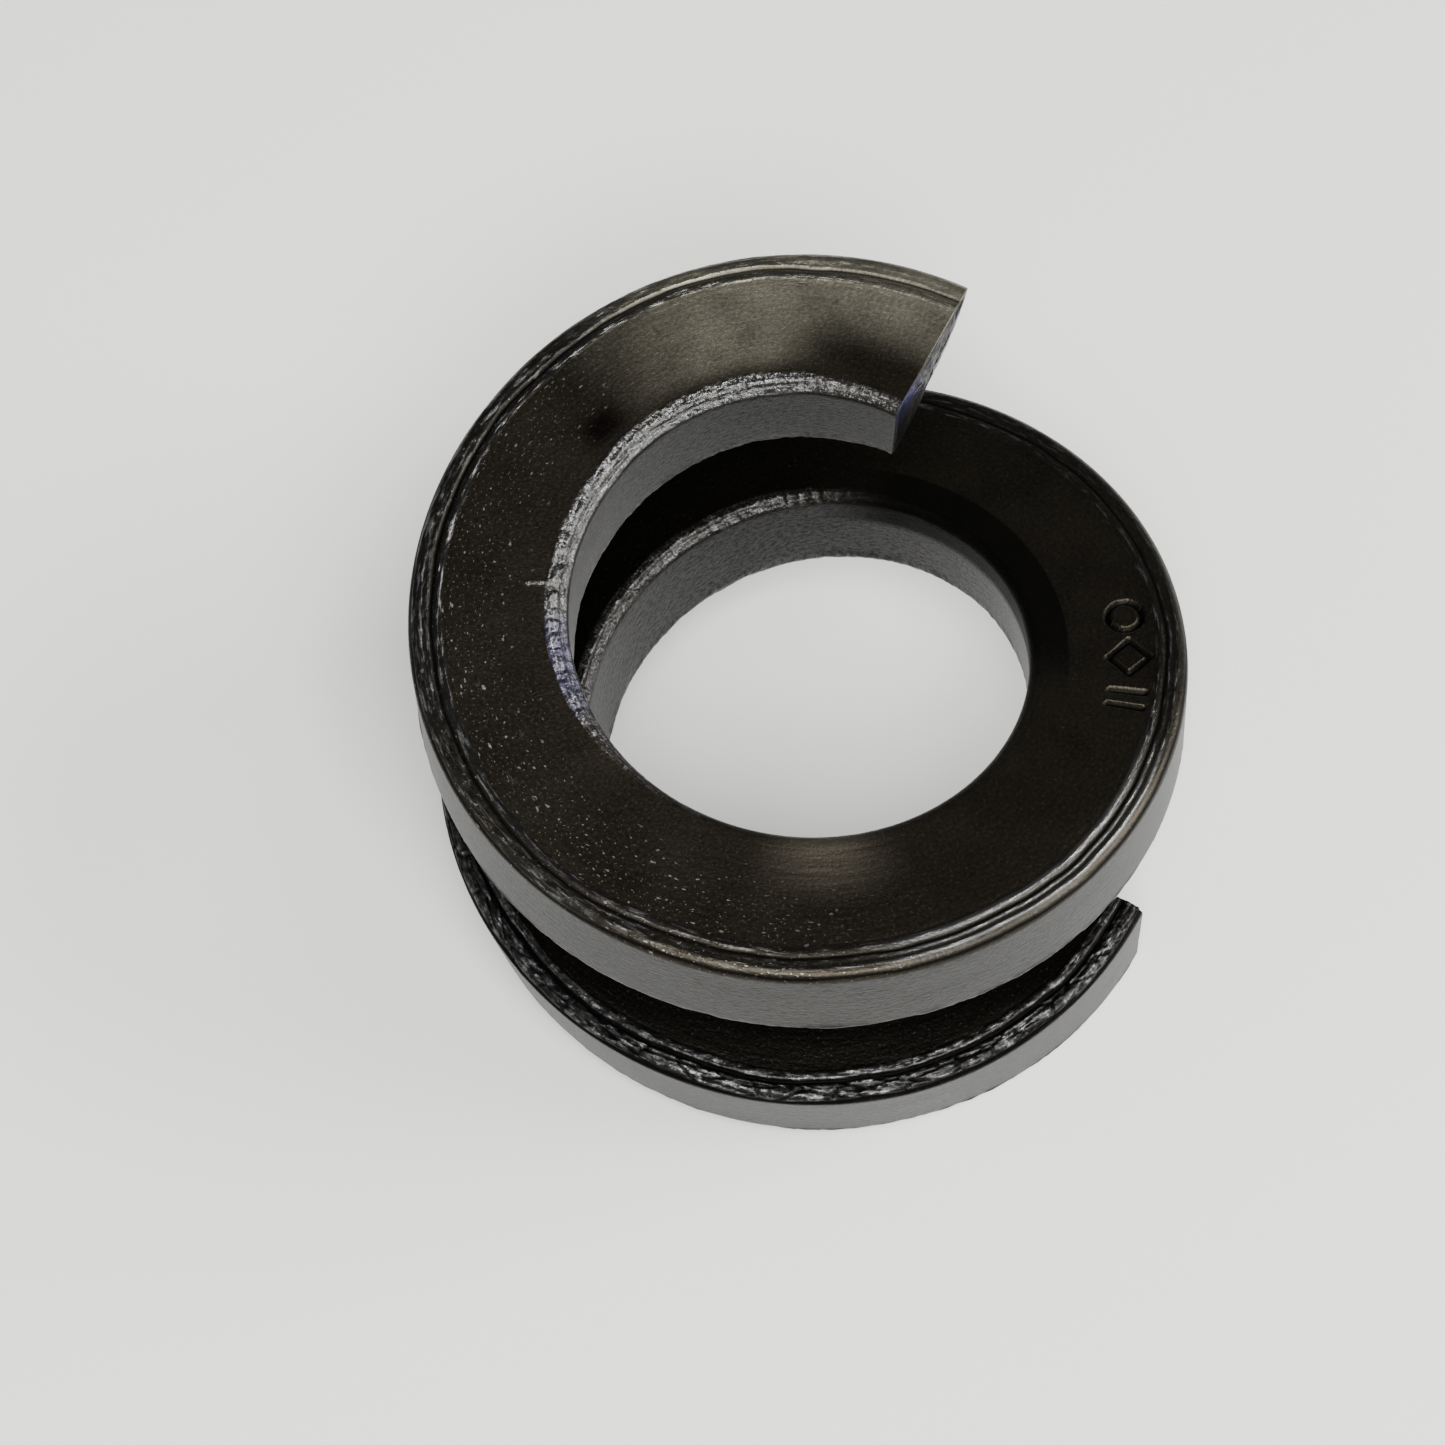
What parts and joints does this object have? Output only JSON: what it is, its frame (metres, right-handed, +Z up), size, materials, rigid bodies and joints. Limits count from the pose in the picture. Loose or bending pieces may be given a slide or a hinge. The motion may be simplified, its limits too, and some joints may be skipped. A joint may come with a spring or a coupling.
{
  "type": "spring washer",
  "caption": "Heavy coil spring washer: one flat bar of blackened spring steel wound on edge into a left-hand coil with level ends, closing under a nut.",
  "frame": {"origin": "on the coil's axis, in the plane of the lower seat", "axes": "+Z up the coil's axis, from the lower seat to the upper seat; the bar starts 35 degrees clockwise of +X, looking down +Z, and climbs clockwise"},
  "size_m": [0.0424, 0.0424, 0.0275],
  "materials": {
    "blackened_bar": "black heat-treated scale, oiled, satin, with bright worn edges"
  },
  "bodies": {
    "coil_lower_end": {"coil_lower_end": "blackened_bar"},
    "coil_arc_01": {"coil_arc_01": "blackened_bar"},
    "coil_arc_02": {"coil_arc_02": "blackened_bar"},
    "coil_arc_03": {"coil_arc_03": "blackened_bar"},
    "coil_arc_04": {"coil_arc_04": "blackened_bar"},
    "coil_arc_05": {"coil_arc_05": "blackened_bar"},
    "coil_arc_06": {"coil_arc_06": "blackened_bar"},
    "coil_arc_07": {"coil_arc_07": "blackened_bar"},
    "coil_arc_08": {"coil_arc_08": "blackened_bar"},
    "coil_arc_09": {"coil_arc_09": "blackened_bar"},
    "coil_arc_10": {"coil_arc_10": "blackened_bar"},
    "coil_upper_end": {"coil_upper_end": "blackened_bar"}
  },
  "joints": [
    {"name": "coil_twist_01", "type": "hinge", "parent": "coil_lower_end", "child": "coil_arc_01", "pos_m": [-0.00968, -0.01382, 0.00475], "axis": [-0.8192, 0.5736, 0], "range_deg": [0, 0.5225], "stiffness_Nm_per_rad": 1},
    {"name": "coil_twist_02", "type": "hinge", "parent": "coil_arc_01", "child": "coil_arc_02", "pos_m": [-0.01662, -0.00293, 0.00655], "axis": [-0.1736, 0.9848, 0], "range_deg": [0, 1.62], "stiffness_Nm_per_rad": 1},
    {"name": "coil_twist_03", "type": "hinge", "parent": "coil_arc_02", "child": "coil_arc_03", "pos_m": [-0.01382, 0.00968, 0.00835], "axis": [0.5736, 0.8192, 0], "range_deg": [0, 2.73], "stiffness_Nm_per_rad": 1},
    {"name": "coil_twist_04", "type": "hinge", "parent": "coil_arc_03", "child": "coil_arc_04", "pos_m": [-0.00293, 0.01662, 0.01015], "axis": [0.9848, 0.1736, 0], "range_deg": [0, 3.2], "stiffness_Nm_per_rad": 1},
    {"name": "coil_twist_05", "type": "hinge", "parent": "coil_arc_04", "child": "coil_arc_05", "pos_m": [0.00968, 0.01382, 0.01195], "axis": [0.8192, -0.5736, 0], "range_deg": [0, 3.2], "stiffness_Nm_per_rad": 1},
    {"name": "coil_closing", "type": "hinge", "parent": "coil_arc_05", "child": "coil_arc_06", "pos_m": [0.01662, 0.00293, 0.01375], "axis": [0.1736, -0.9848, 0], "range_deg": [0, 3.15], "stiffness_Nm_per_rad": 1},
    {"name": "coil_twist_07", "type": "hinge", "parent": "coil_arc_06", "child": "coil_arc_07", "pos_m": [0.01382, -0.00968, 0.01555], "axis": [-0.5736, -0.8192, 0], "range_deg": [0, 3.2], "stiffness_Nm_per_rad": 1},
    {"name": "coil_twist_08", "type": "hinge", "parent": "coil_arc_07", "child": "coil_arc_08", "pos_m": [0.00293, -0.01662, 0.01735], "axis": [-0.9848, -0.1736, 0], "range_deg": [0, 3.2], "stiffness_Nm_per_rad": 1},
    {"name": "coil_twist_09", "type": "hinge", "parent": "coil_arc_08", "child": "coil_arc_09", "pos_m": [-0.00968, -0.01382, 0.01915], "axis": [-0.8192, 0.5736, 0], "range_deg": [0, 2.73], "stiffness_Nm_per_rad": 1},
    {"name": "coil_twist_10", "type": "hinge", "parent": "coil_arc_09", "child": "coil_arc_10", "pos_m": [-0.01662, -0.00293, 0.02095], "axis": [-0.1736, 0.9848, 0], "range_deg": [0, 1.62], "stiffness_Nm_per_rad": 1},
    {"name": "coil_twist_11", "type": "hinge", "parent": "coil_arc_10", "child": "coil_upper_end", "pos_m": [-0.01382, 0.00968, 0.02275], "axis": [0.5736, 0.8192, 0], "range_deg": [0, 0.5225], "stiffness_Nm_per_rad": 1}
  ],
  "couplings": [
    {"joint": "coil_twist_01", "follows": "coil_closing", "ratio": 0.15},
    {"joint": "coil_twist_02", "follows": "coil_closing", "ratio": 0.5},
    {"joint": "coil_twist_03", "follows": "coil_closing", "ratio": 0.85},
    {"joint": "coil_twist_04", "follows": "coil_closing", "ratio": 1},
    {"joint": "coil_twist_05", "follows": "coil_closing", "ratio": 1},
    {"joint": "coil_twist_07", "follows": "coil_closing", "ratio": 1},
    {"joint": "coil_twist_08", "follows": "coil_closing", "ratio": 1},
    {"joint": "coil_twist_09", "follows": "coil_closing", "ratio": 0.85},
    {"joint": "coil_twist_10", "follows": "coil_closing", "ratio": 0.5},
    {"joint": "coil_twist_11", "follows": "coil_closing", "ratio": 0.15}
  ]
}
